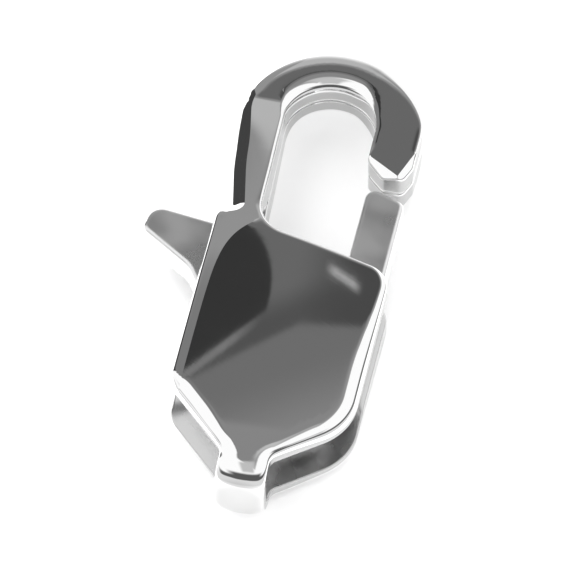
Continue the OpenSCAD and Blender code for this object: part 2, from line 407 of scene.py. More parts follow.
def twinned(tree, geometry, material):
    """Closes a half with its mirror image below, and ends the tree with its material."""
    mirrored = node(tree, "GeometryNodeTransform", {}, geometry, Scale=(1.0, 1.0, -1.0))
    mirrored = node(tree, "GeometryNodeFlipFaces", {}, mirrored)
    both = node(tree, "GeometryNodeJoinGeometry", {}, mirrored)
    tree.links.new(geometry.socket, both.socket.node.inputs[0])
    closed = node(tree, "GeometryNodeMergeByDistance", {}, both, Distance=0.001 * MM)
    closed = node(tree, "GeometryNodeSetShadeSmooth", {}, closed)
    crease = attribute(tree, "crease").math("GREATER_THAN", 0.99)
    closed = node(tree, "GeometryNodeSetShadeSmooth", {"domain": "EDGE"}, closed, crease, False)
    closed = node(tree, "GeometryNodeRealizeInstances", {}, closed)
    closed = node(tree, "GeometryNodeSetMaterial", {}, closed, Material=material)
    node(tree, "NodeGroupOutput", {}, closed)


def flat_object(name, points, faces, carried):
    """A mesh that lies flat on the plan, whose points carry the lengths and shares in carried."""
    mesh = bpy.data.meshes.new(name)
    mesh.from_pydata([(x * MM, y * MM, 0) for x, y in points], [],
                     [tuple(map(int, f)) for f in faces])
    for key, values in carried.items():
        mesh.attributes.new(key, "FLOAT", "POINT").data.foreach_set("value", values.astype("f"))
    return add_object(name, mesh)


def shaped(obj, tree, sizes, keep):
    """Gives obj the shape that the tree makes from it, as a plain mesh that keeps some attributes."""
    modifier = obj.modifiers.new(tree.name, "NODES")
    modifier.node_group = tree
    for item in tree.interface.items_tree:
        if item.in_out == "INPUT" and item.name in sizes:
            modifier[item.identifier] = sizes[item.name] * MM
    graph = bpy.context.evaluated_depsgraph_get()
    mesh = bpy.data.meshes.new_from_object(obj.evaluated_get(graph), preserve_all_data_layers=True,
                                           depsgraph=graph)
    obj.modifiers.remove(modifier)
    flat, obj.data = obj.data, mesh
    bpy.data.meshes.remove(flat)
    mesh.name = obj.name
    for key in [a.name for a in mesh.attributes if a.domain == "POINT"]:
        if key not in keep and key != "position" and not key.startswith("."):
            mesh.attributes.remove(mesh.attributes[key])
    check_closed(mesh)
    return obj


def check_closed(mesh):
    """Raises an error if the mesh has an open edge, an inverted face or no volume."""
    bm = bmesh.new()
    bm.from_mesh(mesh)
    open_edges = sum(not (e.is_manifold and e.is_contiguous) for e in bm.edges)
    volume = bm.calc_volume(signed=True)
    bm.free()
    if open_edges or volume <= 0:
        raise RuntimeError(f"{mesh.name} has {open_edges} open edges and volume {volume}")


# The body: a strip cut flat, then pressed into shape by a node tree

# Points: distances of the rings from the rim, rows down the wall as shares of its height, and
# the place below which the grid is fine for the fold
RINGS = (0.004, 0.012, 0.025, 0.045, 0.07, 0.1, 0.14, 0.19, 0.25, 0.32, 0.4, 0.5)
WALL_ROWS = (0.06, 0.25, 0.5, 0.75, 0.94)
FOLD_GRID_Y = -11.2
LINE_POINTS = 500

# The arm climbs from the hook's layer to the plate, and the layers part on the way down
RAMP_TOP, RAMP_FOOT = 0.4, -3.75
PART_TOP, PART_FOOT = -2.4, -3.5
LIMB_END = -2.8

# The dome's summit, the neck above the bridge, and the radius on which the arch's crown runs
DOME_X, DOME_Y = 0.1, -5.7
NECK_Y, NECK_BEND = -10.7, 0.07
NECK_RISE, NECK_R = 0.3, 0.35
CROWN_MIDDLE = 2.1

# The arm's sides, with the notch between it and the plate's shoulder
ARM_BOW = (-2.46, -1.9, 8.0)
ARM_LEFT, NOTCH_Y = -2.12, -3.62
ARM_IN = -1.18
ARM_LEAN = 0.008
SHOULDER_Y = -3.85

# Facets: where each one runs, and how far it goes down for each millimetre across
BEVEL_TOP, BEVEL_END_Y, BEVEL_END_R, BEVEL_SLOPE = 1.15, -3.45, 0.38, 0.66
FLANK_TOP, FLANK_FOOT, FLANK_SLOPE = -4.15, -10.3, 0.2
FLANK_Y, FLANK_X, FLANK_FADE, FLANK_UP = -4.0, -1.05, 0.65, 0.7
TIP_LEFT = ((1.1, -0.75), (2.24, -1.4))
TIP_RIGHT = ((2.24, -1.4), (2.56, -0.5))
TIP_SLOPE = 0.58
TIP_CORNER = (1.82, -1.5)

# Width and depth of the roundings that the panel doesn't show, and a fine one's depth as a share
LIMB_ROLL, LIMB_DEPTH = 0.2, 0.03
TIP_ROLL, TIP_DEPTH = 0.05, 0.04
FINE_SHARE = 0.8

# The inner rims' bevel, and how much the plates lose at their lower rims
INNER_BEVEL = 0.05
THIN_LEFT, THIN_RIGHT = 0.24, 0.1


def fold_start(s):
    """The plate's slope where the fold starts, as an angle, and the y of that place."""
    lean = 0.0
    for _ in range(20):
        y = TAIL_Y + s.fold_r * (1 - math.sin(lean))
        lean = math.atan((DOME_Y - y) / s.dome_along + NECK_BEND * (NECK_Y - y))
    return lean, y


def dome_depth(s, x, y):
    """How far the dome lies below its summit, with the neck's own bend."""
    dome = (x - DOME_X) ** 2 / (2 * s.dome_across) + (y - DOME_Y) ** 2 / (2 * s.dome_along)
    return dome + NECK_BEND / 2 * np.maximum(NECK_Y - y, 0) ** 2


def bridge_length(s):
    """Length of the flat strip from the start of the fold to the middle of the bridge."""
    lean, neck_y = fold_start(s)
    centre_z = PLATE_OUT - dome_depth(s, s.bridge_x, neck_y) - s.fold_r * math.cos(lean)
    return s.fold_r * (math.pi / 2 - lean) + centre_z


def arm_outer(s, y):
    """The x of the arm's outer side at each y, from the arch down to the plate's shoulder."""
    arch = arc((0, 0), OUTER_R, 150, 180, s.point_gap)
    arm = rounded([(-OUTER_R, 0, 0), ARM_BOW, (ARM_LEFT, NOTCH_Y, 0)], s.point_gap)
    side = np.vstack([arch, arm[1:], (ARM_LEFT + 0.05, NOTCH_Y - 0.3)])[::-1]
    return np.interp(y, side[:, 1], side[:, 0])


def strip_outline(s):
    """The strip's outline, counterclockwise, from the bridge's middle round the hook and back."""
    gap = s.point_gap
    neck_y = fold_start(s)[1]
    end, neck = neck_y - bridge_length(s), neck_y + NECK_RISE
    right, left = s.bridge_x + s.bridge_w / 2, s.bridge_x - s.bridge_w / 2
    up = rounded([(right, end, 0), (right, neck, NECK_R), (PLATE_RIGHT, -10.1, 1.7),
                  (PLATE_RIGHT, -4.95, 0.75), (ARM_IN, -4.1, 1.0), (-1.22, -2.0, 6.0),
                  (-INNER_R, 0, 0)], gap)
    inner = arc((0, 0), INNER_R, 180, 0, gap)
    tip = rounded([(INNER_R, 0, 0), (INNER_R, -1.03, 0.3), (*TIP_CORNER, 0.25),
                   (2.4, -1.5, 0.24), (OUTER_R, -1.0, 0.35), (OUTER_R, 0, 0)], gap)
    outer = arc((0, 0), OUTER_R, 0, 180, gap)
    down = rounded([(-OUTER_R, 0, 0), ARM_BOW, (ARM_LEFT, NOTCH_Y, 0.1),
                    (-s.plate_left, SHOULDER_Y, 0.4), (-s.plate_left, -9.75, 0.8),
                    (left, neck, NECK_R), (left, end, 0)], gap)
    return np.vstack([up, inner[1:-1], tip, outer[1:-1], down])


def bevel_width(s, y):
    """Width of the bevel on the arm's outer side, which fades in and ends in a round."""
    end = np.clip((BEVEL_END_Y - y) / BEVEL_END_R, 0, 1)
    round_end = np.sqrt(np.clip(1 - end ** 2, 0, 1))
    return s.bevel_w * (smooth(y, BEVEL_TOP, 0.55) * 0.6 + 0.4 * smooth(y, 0.8, -1.6)) * round_end


def flank_line(s, y):
    """The x of the crease that bounds the plate's left flank, and its slope: the flank is narrow
    below and widens to the full width of the arm."""
    inner = s.flank_w - s.plate_left
    wide = (FLANK_X - inner) * np.exp(np.minimum(y - FLANK_Y, 0) / FLANK_FADE)
    slope = wide / FLANK_FADE
    return inner + wide + FLANK_UP * np.maximum(y - FLANK_Y, 0), slope


def hook_rounding(s, x, y):
    """Width and depth of the hook's rounding: wide over the arch, fine along the arm, shallow
    along the right limb and sharp at its tip."""
    fine, fine_depth = s.fine_roll, s.fine_roll * FINE_SHARE
    limb = smooth(x, 0, 1.2) * (y > LIMB_END)
    limb_w = fine + (LIMB_ROLL - fine) * limb
    limb_depth = fine_depth + (LIMB_DEPTH - fine_depth) * limb
    arch = smooth(y, 0.6 * limb - 0.2, 1.3 * limb + 0.9)
    outer = smooth(y, 1.0, 2.2) * (np.hypot(x, y) > (INNER_R + OUTER_R) / 2)
    arch_w = s.hook_roll + (s.top_roll - s.hook_roll) * outer
    width = limb_w + (arch_w - limb_w) * arch
    depth = limb_depth + (s.hook_roll_depth - limb_depth) * arch
    tip = smooth(y, -0.4, -0.8) * (x > 0) * (y > -2.5)
    return width + (TIP_ROLL - width) * tip, depth + (TIP_DEPTH - depth) * tip


def plate_rounding(s, x, y):
    """Width and depth of the plate's rounding: wide below and on the right, fine along the upper
    edge and the left flank, and as wide as half the bridge at the fold."""
    narrow = 1 - 0.6 * smooth(x, 1.5, 2) * smooth(-y, 8.5, 5.5)
    narrow = narrow * (1 - 0.3 * smooth(-y, 10.4, 11.5))
    width, depth = s.plate_roll * narrow, s.plate_roll_depth * narrow
    width = width + (s.bridge_w / 2 - width) * smooth(-y, 11.1, 11.95)
    upper = smooth(-y, 5.5, 4.9) * smooth(x, -1.6, -1.2)
    left = smooth(x, -1.0, -1.5) * smooth(-y, 9.9, 9.3)
    fine = np.maximum(upper, left)
    return width + (s.fine_roll - width) * fine, depth + (s.fine_roll * FINE_SHARE - depth) * fine


def rounding(s, x, y, climb):
    """Width and depth of the rounding along the edge nearest to each point."""
    low = smooth(climb, 0.8, 1)
    both = zip(hook_rounding(s, x, y), plate_rounding(s, x, y))
    return [on_hook + (on_plate - on_hook) * low for on_hook, on_plate in both]


def arm_bevel(s, x, y, edge):
    """How far the arm's bevel goes down, with its own fine rounding at the rim."""
    on_arm = (y < BEVEL_TOP) & (x < -0.5) & (y > SHOULDER_Y)
    width = bevel_width(s, y)
    bevel = np.clip(arm_outer(s, y) + width - x, 0, width) * on_arm * BEVEL_SLOPE
    t = np.clip(1 - edge / s.fine_roll, 0, 1)
    return bevel + (bevel > 0) * s.fine_roll * FINE_SHARE * (1 - np.sqrt(1 - t ** 2))


def plate_flank(s, x, y, climb):
    """How far the plate's left flank goes down. It runs up onto the arm, until the arm lies
    below it."""
    below_plate = (1 - climb) * (PLATE_OUT - s.layer_t)
    crease, slope = flank_line(s, y)
    flank = FLANK_SLOPE * np.maximum(crease - x, 0) / np.hypot(1, slope) - below_plate
    return soft_ramp(flank, 0.05 * smooth(y, -4.3, -3.6) + 1e-5) * (x < 0) * smooth(y, 0, -1.5)


def thinning(x, y, edge):
    """How much the plates lose inside, towards their lower rims, most on the left."""
    on_left = THIN_LEFT * np.maximum(1 - edge / 0.8, 0) * smooth(x, 0, -0.6)
    on_right = THIN_RIGHT * smooth(edge, 1.1, 0.7) * smooth(x, 0.4, 1.0)
    return (on_left + on_right) * smooth(-y, 8.0, 9.4)


def strip_places(s, p, rim):
    """What the points of the strip carry into the node tree."""
    x, y = p[:, 0], p[:, 1]
    edge = distance(p, rim)
    right_limb = (x > 0) & (y > LIMB_END)
    rise = soft_ramp(RAMP_TOP - y, 0.08) - soft_ramp(RAMP_FOOT - y, 0.4)
    share = rise / (RAMP_TOP - RAMP_FOOT)
    climb = np.where(right_limb, 0, share * (1.25 - 0.25 * share))
    part = np.where(right_limb, 0, smooth(y, PART_TOP, PART_FOOT))
    width, depth = rounding(s, x, y, climb)
    # the top face: the flank, the tip's facets, the arch's crown, the arm's lean and the dome
    flank = plate_flank(s, x, y, climb)
    facets = np.maximum(beyond(p, *TIP_LEFT), beyond(p, *TIP_RIGHT))
    tip = facets * TIP_SLOPE * right_limb * (y < 0)
    crown = smooth(y, 0.2, 1.4) * (np.hypot(x, y) - CROWN_MIDDLE) ** 2 / (2 * s.crown_r)
    lean = ARM_LEAN * np.maximum(y + 1.5, 0) * (1 - climb)
    summit = np.where(right_limb, 0, smooth(climb, 0, 1))
    dome = summit * dome_depth(s, x, np.clip(y, fold_start(s)[1], -4))
    lengths = {"edge": edge, "roll_width": width, "roll_depth": depth,
               "bevel": arm_bevel(s, x, y, edge), "lowered": flank + tip + crown + lean + dome,
               "thinned": thinning(x, y, edge)}
    return {"climb": climb, "part": part, **{key: value * MM for key, value in lengths.items()}}


def strip_layers(s):
    """The flat strip: a top face, a wall and a low face, still all at one height."""
    loop = strip_outline(s)
    n = len(loop)
    left, right = loop[-1], loop[0]
    steps = np.r_[RINGS, np.arange(0.56, s.bridge_w / 2, 0.06)]
    x = np.sort(np.r_[left[0] + steps, right[0] - steps])
    x = x[np.r_[True, np.diff(x) > 0.01]]
    closed = np.vstack([loop, np.c_[x, np.full(len(x), left[1])]])
    rim = np.arange(n)
    # the strip runs on past the bridge's middle, which is no edge
    edge = np.vstack([right - (0, 1), loop, left - (0, 1)])
    y = np.linspace(0.6, BEVEL_END_Y - BEVEL_END_R, LINE_POINTS)
    side = arm_outer(s, y) + bevel_width(s, y)
    down = np.linspace(FLANK_TOP, FLANK_FOOT, LINE_POINTS)
    lines = [np.array(TIP_LEFT), np.array(TIP_RIGHT), np.c_[side, y],
             np.c_[flank_line(s, down)[0], down]]
    creases = [resampled(line, s.point_gap) for line in lines]
    creases = [c[inside(c, closed) & (distance(c, edge) > 0.02)] for c in creases]
    zones = [((-3, -20), (3, FOLD_GRID_Y), 0.07), ((-3, FOLD_GRID_Y), (3, -4), 0.13),
             ((-3, -4), (3, 3), 0.075)]
    top, top_faces, top_place = triangulate(closed, rim, RINGS, zones, creases)
    zones = [((-3, -20), (3, FOLD_GRID_Y), 0.1), ((-3, FOLD_GRID_Y), (3, 3), 0.2)]
    low, low_faces, low_place = triangulate(closed, rim, (0.05, 0.3), zones)
    points = [top] + [loop] * len(WALL_ROWS) + [low]
    level = [np.zeros(len(top))] + [np.full(n, row) for row in WALL_ROWS] + [np.ones(len(low))]
    start = len(top) + n * len(WALL_ROWS)
    rows = [top_place[:n]] + [len(top) + n * k + rim for k in range(len(WALL_ROWS))]
    rows.append(low_place[:n] + start)
    walls = np.vstack([np.c_[a[:-1], b[:-1], b[1:], a[1:]] for a, b in zip(rows[:-1], rows[1:])])
    faces = list(top_faces) + list(low_faces[:, ::-1] + start) + list(walls)
    points = np.vstack(points)
    carried = strip_places(s, points, edge)
    carried["crease"] = np.zeros(len(points))
    carried["crease"][top_place[len(closed):]] = 1
    carried["level"] = np.concatenate(level)
    carried["inside"] = carried["level"] * carried["part"]
    return points, faces, carried


def strip_tree(s, material):
    """The tree that lifts, rolls, folds and twins the flat strip."""
    tree, size = shape_tree("Pressed Strip", {
        "Layer Thickness": "Height of the hook's top face",
        "Seam": "Slit between the hook's layers",
        "Plate Inside": "Height of the plate's inner face",
        "Plate Outside": "Height of the plate's outer face",
        "Inner Bevel": "Bevel along the inner edges",
        "Fold Start": "Distance from the arch's centre down to the fold",
        "Fold Radius": "Outer radius of the fold",
        "Neck Depth": "How far the dome lies below the plate's summit at the fold",
    })
    lean = fold_start(s)[0]
    level = attribute(tree, "level")
    edge = attribute(tree, "edge")
    top = size["Layer Thickness"].toward(size["Plate Outside"], attribute(tree, "climb"))
    top = top - attribute(tree, "lowered")
    roll = quarter_round(edge, attribute(tree, "roll_width"), attribute(tree, "roll_depth"))
    top = top - roll.math("MAXIMUM", attribute(tree, "bevel"))
    low = (size["Seam"] * 0.5).toward(size["Plate Inside"], attribute(tree, "part"))
    low = low + (size["Inner Bevel"] - edge).math("MAXIMUM", attribute(tree, "thinned"))
    z = top.toward(low, level)
    place = node(tree, "GeometryNodeInputPosition", {})
    split = node(tree, "ShaderNodeSeparateXYZ", {}, place)
    x, y = split, Wire(tree, split.socket.node.outputs[1])
    # the fold: the strip turns round an axis below its outer face, then runs straight down
    radius = size["Fold Radius"]
    past = (-size["Fold Start"] - y).math("MAXIMUM", 0.0)
    folded = past.math("GREATER_THAN", 0.0)
    turn = (past / radius).math("MINIMUM", math.pi / 2 - lean) + lean
    drop = (past - radius * (math.pi / 2 - lean)).math("MAXIMUM", 0.0)
    neck_z = size["Plate Outside"] - size["Neck Depth"]
    axis_y = -size["Fold Start"] + radius * math.sin(lean)
    axis_z = neck_z - radius * math.cos(lean)
    r = radius - (neck_z - z)
    new_y = y.toward(axis_y - r * turn.math("SINE"), folded)
    new_z = z.toward(axis_z + r * turn.math("COSINE") - drop, folded)
    position = node(tree, "ShaderNodeCombineXYZ", {}, x, new_y, new_z)
    lifted = node(tree, "GeometryNodeSetPosition", {}, size["Geometry"], Position=position)
    twinned(tree, lifted, material)
    return tree


def make_body(s, material):
    """The pressed strip, finished."""
    neck_y = fold_start(s)[1]
    points, faces, carried = strip_layers(s)
    obj = flat_object("clasp_body", points, faces, carried)
    return shaped(obj, strip_tree(s, material), {
        "Layer Thickness": s.layer_t, "Seam": s.seam, "Plate Inside": s.plate_in,
        "Plate Outside": PLATE_OUT, "Inner Bevel": INNER_BEVEL, "Fold Start": -neck_y,
        "Fold Radius": s.fold_r, "Neck Depth": dome_depth(s, s.bridge_x, neck_y),
    }, ("edge", "inside", "level"))


# The lever: one thick blade, rounded along its rim

# The hub round the pin, the gate's setback from the hook's inner side, its gap to the tip, and
# rows down the rim as shares of half the thickness
HUB_R = 1.4
GATE_SETBACK, GATE_GAP = 0.15, 0.25
BLADE_ROWS = (0.06, 0.4, 0.75, 1.0)


def lever_outline(s):
    """The lever's outline, counterclockwise, from the gate's right side round to it."""
    gate_left, gate_right = INNER_R + GATE_SETBACK, OUTER_R
    reach = math.dist(TIP_CORNER, PIVOT.xy) - GATE_GAP
    top = [PIVOT.y + math.sqrt(reach ** 2 - (x - PIVOT.x) ** 2) for x in (gate_left, gate_right)]
    thumb_x, foot = LEVER_LOW.x, PIVOT.y - HUB_R
    return rounded([
        (gate_right, -4.2, 0), (gate_right, top[1], 0.28), (gate_left, top[0], 0.28),
        (gate_left, PIVOT.y + HUB_R, 0.35), (-2.2, -3.84, 0.9), (thumb_x + 0.12, -3.6, 0.45),
        (thumb_x - 0.03, -4.45, 0.3), (-2.85, -5.45, 0.9), (PIVOT.x - 1.2 * HUB_R, foot, 1.12),
        (PIVOT.x + HUB_R, foot, 1.26), (gate_right, PIVOT.y + HUB_R / 2, 0.98),
        (gate_right, -4.2, 0)], s.point_gap)[:-1]


def lever_tree(material):
    """The tree that lifts, rolls and twins the flat lever."""
    tree, size = shape_tree("Rounded Blade", {
        "Half Thickness": "Height of the top face above the middle",
        "Roll": "Width and depth of the rounding along the rim",
    })
    z = size["Half Thickness"] - quarter_round(attribute(tree, "edge"), size["Roll"], size["Roll"])
    height = node(tree, "ShaderNodeCombineXYZ", {}, 0.0, 0.0, z * (1.0 - attribute(tree, "level")))
    lifted = node(tree, "GeometryNodeSetPosition", {}, size["Geometry"], Offset=height)
    twinned(tree, lifted, material)
    return tree


def make_lever(s, material):
    """The blade with its gate and thumb piece, finished."""
    loop = lever_outline(s)
    n = len(loop)
    rings = [depth for depth in RINGS if depth <= 0.2]
    top, faces, place = triangulate(loop, np.arange(n), rings, [((-5, -9), (3, 0), 0.16)])
    rows = [place] + [len(top) + n * k + np.arange(n) for k in range(len(BLADE_ROWS))]
    walls = [np.c_[a, b, np.roll(b, -1), np.roll(a, -1)] for a, b in zip(rows[:-1], rows[1:])]
    points = np.vstack([top] + [loop] * len(BLADE_ROWS))
    level = [np.zeros(len(top))] + [np.full(n, row) for row in BLADE_ROWS]
    edge = distance(points, np.vstack([loop, loop[:1]]))
    obj = flat_object("clasp_lever", points, list(faces) + list(np.vstack(walls)),
                      {"edge": edge * MM, "level": np.concatenate(level)})
    sizes = {"Half Thickness": LEVER_HIGH.z, "Roll": s.lever_roll}
    return shaped(obj, lever_tree(material), sizes, ("edge",))


# Materials

def blank_material(name):
    """A new material's tree with a Principled shader, and that shader."""
    material = bpy.data.materials.new(name)
    material.use_nodes = True
    tree = material.node_tree
    return material, tree, tree.nodes["Principled BSDF"]


def feed(shader, **inputs):
    """Sets or links inputs of a shader by name."""
    for key, value in inputs.items():
        plug(shader.inputs[key.replace("_", " ")], value)


def painted(tree, name):
    """A number that the finished mesh's points carry."""
    return node(tree, "ShaderNodeAttribute", {"attribute_name": name}, out=2)


def millimetres(tree):
    """The object's own coordinates, counted in millimetres."""
    place = node(tree, "ShaderNodeTexCoord", {}, out=3)
    return node(tree, "ShaderNodeVectorMath", {"operation": "MULTIPLY"}, place, (1 / MM,) * 3)


def noise(tree, place, stretch, scale, detail=2.0):
    """Soft noise from 0 to 1, drawn out by a stretch along each axis."""
    place = node(tree, "ShaderNodeMapping", {}, place, Scale=stretch)
    return node(tree, "ShaderNodeTexNoise", {}, place, Scale=scale, Detail=detail)


def scratches(tree, place, angle):
    """Fine polishing scratches that run at an angle across the faces."""
    turned = node(tree, "ShaderNodeVectorRotate", {"rotation_type": "Z_AXIS"}, place, Angle=angle)
    return noise(tree, turned, (9.0, 0.35, 2.0), 3.0, 4.0).step(0.5, 0.75)


def mixed(tree, share, first, second):
    """first where share is 0 and second where it is 1, for colours."""
    return node(tree, "ShaderNodeMix", {"data_type": "RGBA"}, share, *[None] * 5, first, second,
                out=2)


def grey(value):
    """An opaque colour from a colour of three numbers or from one brightness."""
    return (value, value, value, 1.0) if isinstance(value, float) else (*value, 1.0)


def polished_steel(name, looks, steel, roughness):
    """Mirror-polished steel: fine scratches, smudges, rubbed rims, dull faces inside, painted shade at the fold.
    """
    material, tree, shader = blank_material(name)
    place = millimetres(tree)
    lines = (scratches(tree, place, 0.3) + scratches(tree, place, 2.0)) * 0.5
    smudges = noise(tree, place, (1.0, 1.0, 1.0), 0.7).step(0.4, 0.7)
    rim = painted(tree, "edge").step(0.12 * MM, 0.0)
    within = painted(tree, "inside")
    level = painted(tree, "level")
    cut = level.step(0.0, WALL_ROWS[0]) * level.step(1.0, WALL_ROWS[-1])
    rough = roughness * (0.85 + smudges * 0.3) + lines * looks.scratches * 0.06 + rim * 0.02
    rough = rough.toward(0.16 + smudges * 0.08, cut)
    rough = rough.toward(looks.dull + smudges * 0.1, within)
    bump = node(tree, "ShaderNodeBump", {}, Strength=looks.scratches, Distance=0.0003 * MM,
                Height=lines)
    wear_and_shade = mixed(tree, rim * 0.3, grey(steel), grey(0.97))
    wear_and_shade = mixed(tree, cut, wear_and_shade, grey(looks.cut_steel))
    split = node(tree, "ShaderNodeSeparateXYZ", {}, place)
    # painted shade: the base colour darkens towards the fold at the tail
    fold_shade = Wire(tree, split.socket.node.outputs[1]).step(TAIL_Y + 0.25, TAIL_Y + 0.05)
    wear_and_shade = mixed(tree, fold_shade, wear_and_shade, grey(looks.bent_steel))
    feed(shader, Base_Color=mixed(tree, within, wear_and_shade, grey(looks.dull_steel)), Metallic=1.0,
         Roughness=rough, Normal=bump)
    return material


def turned_steel(name, looks):
    """Plain turned steel with fine rings round the pin's axis."""
    material, tree, shader = blank_material(name)
    place = millimetres(tree)
    offset = node(tree, "ShaderNodeVectorMath", {"operation": "SUBTRACT"}, place,
                  (PIVOT.x, PIVOT.y, 0.0))
    flat = node(tree, "ShaderNodeVectorMath", {"operation": "MULTIPLY"}, offset, (1.0, 1.0, 0.0))
    radius = node(tree, "ShaderNodeVectorMath", {"operation": "LENGTH"}, flat, out=1)
    rings = (radius * 160.0).math("SINE") * 0.5 + 0.5
    specks = noise(tree, place, (1.0, 1.0, 1.0), 6.0)
    feed(shader, Base_Color=grey(looks.dull_steel), Metallic=1.0,
         Roughness=0.24 + rings * 0.08 + specks * 0.1,
         Normal=node(tree, "ShaderNodeBump", {}, Strength=0.2, Distance=0.004 * MM, Height=rings))
    return material


def paper(name, looks):
    """White paper with a faint grain."""
    material, tree, shader = blank_material(name)
    grain = noise(tree, millimetres(tree), (1.0, 1.0, 1.0), 3.0, 5.0)
    white = Vector(looks.paper)
    feed(shader, Base_Color=mixed(tree, grain, grey(white * 0.985), grey(white)),
         Roughness=0.85 + grain * 0.1, Specular_IOR_Level=0.0)
    return material


# Room, floor, light and camera

ELEVATION, TURN = math.radians(55), math.radians(12.6)
TO_RIGHT = Vector((math.cos(TURN), math.sin(TURN), 0))
AWAY = Vector((-math.sin(TURN), math.cos(TURN), 0))
LOOK = AWAY * math.cos(ELEVATION) - Vector((0, 0, math.sin(ELEVATION)))
UPWARD = TO_RIGHT.cross(LOOK)

# The photograph: pixels to the millimetre, where it shows the hook's centre, and the middle and
# side of the square of it that the camera sees
PHOTO_SCALE = 14.8
PHOTO_ORIGIN = (195.5, 238.5)
PHOTO_SQUARE = (178.0, 301.0, 240.0)
CAMERA_FAR = 250

# Brightness of the room's parts, as polished steel shows them
TONE = SimpleNamespace(
    ceiling=0.14, past_line=0.16, nearer=0.25, nearest=0.5,
    band=0.085, right_shade=0.068, right_wall=0.3, left_shade=0.036, pale_strip=0.2,
    left_wall=0.2, high_wall=0.055, screen=1.05, column=0.55, dark_line=0.1, light_band=0.75,
    lamp=0.45)

# The floor in metres, the lamp in millimetres from the clasp's middle, to the right, away and up
FLOOR_HALF = 1.5
CLASP_MIDDLE = Vector((0, -5, 0))
LAMP_PLACE = (-90, 50, 140)


def ceiling(a, b):
    """The grey ceiling, lighter towards the far wall and, on this side of a bent line, the near
    one. Dark furniture stands on the line's far side: a band and a shade to the right."""
    tone = b.step(0.03, 0.1) * 0.14 + b.step(0.1, 0.15) * 0.2 + TONE.ceiling
    bend = ((a - 0.019) * 0.06).math("MINIMUM", (a - 0.019) * -0.16)
    far_side = (b - bend).step(-0.022, -0.0185)
    tone = tone.toward(TONE.past_line, (b - bend).step(-0.0185, -0.022))
    tone = tone.toward(TONE.nearer, b.step(-0.035, -0.07))
    tone = tone.toward(TONE.nearest, b.step(-0.18, -0.24))
    tone = tone.toward(TONE.band, b.step(-0.002, -0.016) * far_side)
    right_shade = a.step(0.0, 0.07) * a.step(0.14, 0.1) * far_side * b.step(0.02, 0.006)
    tone = tone.toward(TONE.right_shade, right_shade)
    return tone.toward(TONE.right_wall, a.step(0.1, 0.17))


def left_shade(tone, a, b):
    """A dark shade to the left with a curved right side, and a pale strip along its low side."""
    right_side = a + (b + 0.0048) * (b + 0.0048) * 31.4 + 0.0147
    low_side = b - a * 0.17 + 0.0078
    strip = low_side.step(-0.005, -0.003) * low_side.step(0.003, 0.0)
    tone = tone.toward(TONE.pale_strip, strip * a.step(-0.015, -0.05))
    shade = right_side.step(0.0015, -0.0015) * low_side.step(-0.0008, 0.001)
    return tone.toward(TONE.left_shade, shade * a.step(-0.1, -0.085))


def left_wall(tone, a, b):
    """The left wall: grey low down, dark above and white at the top."""
    wall = b.step(0.04, 0.12) * 0.1 + TONE.left_wall
    wall = wall.toward(TONE.high_wall, a.step(-0.42, -0.52))
    return tone.toward(wall, a.step(-0.085, -0.1)).toward(TONE.screen, a.step(-1.7, -2.2))


def screens(tone, a, b):
    """White screens far off, to the right and near, with a grey column between the last two."""
    tone = tone.toward(TONE.screen, (b + a * 0.35).step(0.25, 0.5))
    right = (a - b * 0.178).step(0.19, 0.24)
    near_left = (b * -1.0 - a * 1.36).step(0.27, 0.33) * b.step(-0.02, -0.07)
    tone = tone.toward(TONE.screen, right.math("MAXIMUM", near_left))
    column = a.math("ABSOLUTE").step(0.14, 0.07) * b.step(-0.2, -0.3) * b.step(-0.7, -0.55)
    return tone.toward(TONE.column, column)


def dark_line(tone, a, b):
    """A dark line across the screens, wider near the middle, with a light band beyond it."""
    lean = (a * a + b * b) ** 0.5
    near_or_right = a.step(0.0, 0.3).math("MAXIMUM", b.step(-0.2, -0.4))
    line = lean.step(0.8, 0.9) * lean.step(1.12, 1.02) * near_or_right * a.step(-0.9, -0.6)
    tone = tone.toward(TONE.dark_line, line)
    wide = lean.step(0.64, 0.76) * lean.step(1.22, 1.12) * a.math("ABSOLUTE").step(0.45, 0.25)
    tone = tone.toward(TONE.dark_line, wide * b.step(-0.3, -0.5))
    band = lean.step(1.05, 1.12) * lean.step(1.8, 1.5) * near_or_right
    return tone.toward(TONE.light_band, band).toward(TONE.screen, lean.step(1.5, 1.8) * near_or_right)


def thin_lamp(tone, a, b):
    """A thin bright lamp on the ceiling."""
    from_end, from_middle = (a - 0.053).math("ABSOLUTE"), (b + a * 0.382 - 0.0118).math("ABSOLUTE")
    return tone.toward(TONE.lamp, from_end.step(0.021, 0.009) * from_middle.step(0.002, 0.0008))


def room_pattern(tree):
    """Brightness of the room by direction, as polished steel shows it: the place is named by how
    far a face has to lean to the right (a) and away (b) for the camera to see that part of the
    room in it. A face that lies flat has a = b = 0."""
    direction = node(tree, "ShaderNodeTexCoord", {})
    halfway = node(tree, "ShaderNodeVectorMath", {"operation": "SUBTRACT"}, direction, LOOK)

    def along(axis):
        return node(tree, "ShaderNodeVectorMath", {"operation": "DOT_PRODUCT"}, halfway, axis, out=1)

    up = along((0, 0, 1)).math("MAXIMUM", 0.001)
    a, b = along(TO_RIGHT) / up, along(AWAY) / up
    tone = ceiling(a, b)
    for part in (left_shade, left_wall, screens, dark_line, thin_lamp):
        tone = part(tone, a, b)
    return tone


def make_room(looks):
    """The world: what polished steel mirrors, plain white for light, a pale wall for the camera."""
    world = bpy.data.worlds.new("Studio")
    bpy.context.scene.world = world
    world.use_nodes = True
    tree = world.node_tree
    tree.nodes.clear()
    tone = room_pattern(tree)
    shade = node(tree, "ShaderNodeCombineColor", {}, tone, tone, tone)
    mirrored = node(tree, "ShaderNodeLightPath", {}, out=3)
    seen = node(tree, "ShaderNodeLightPath", {}, out=0)
    light = mixed(tree, mirrored, grey(looks.room), shade)
    light = mixed(tree, seen, light, grey(looks.room_seen))
    node(tree, "ShaderNodeOutputWorld", {}, node(tree, "ShaderNodeBackground", {}, light, 1.0))


